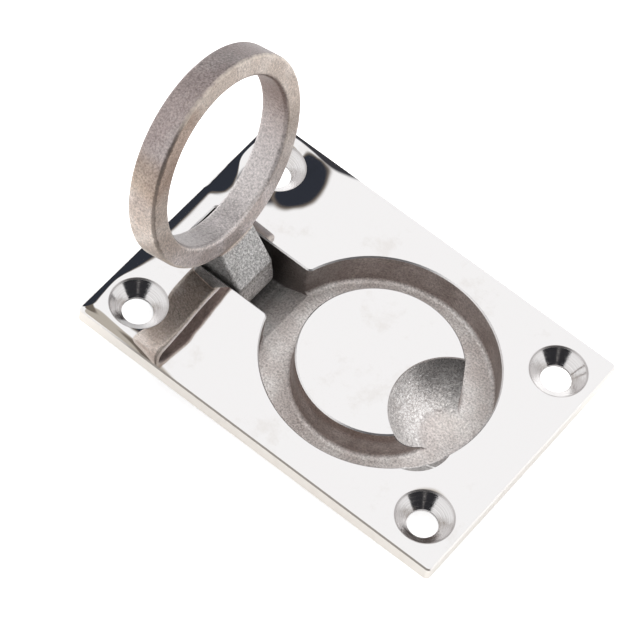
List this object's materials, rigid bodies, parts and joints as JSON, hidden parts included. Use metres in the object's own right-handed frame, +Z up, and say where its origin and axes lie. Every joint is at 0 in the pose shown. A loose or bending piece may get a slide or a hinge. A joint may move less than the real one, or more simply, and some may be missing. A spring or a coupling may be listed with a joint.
{
  "type": "flush lift ring",
  "caption": "Flush lift ring: a polished cast plate with countersunk screw holes, a ring-shaped recess and finger hollow, and a hinged pull ring that folds down flush.",
  "frame": {"origin": "centre of the four screw holes, on the underside of the flange where it meets the panel", "axes": "+Z up through the polished face, +X from the hinge end to the finger-hollow end"},
  "size_m": [0.0776, 0.0542, 0.0547],
  "materials": {
    "polished_plate": "mirror polished",
    "cast_ring": "tumbled casting",
    "pin_steel": "ground rod"
  },
  "bodies": {
    "mount": {"mount_plate": "polished_plate", "hinge_pin": "pin_steel"},
    "ring": {"pull_ring": "cast_ring"}
  },
  "joints": [
    {"name": "ring_hinge", "type": "hinge", "parent": "mount", "child": "ring", "pos_m": [-0.0229, 0, -0.0021], "axis": [0, 1, 0], "range_deg": [0, 104]}
  ]
}
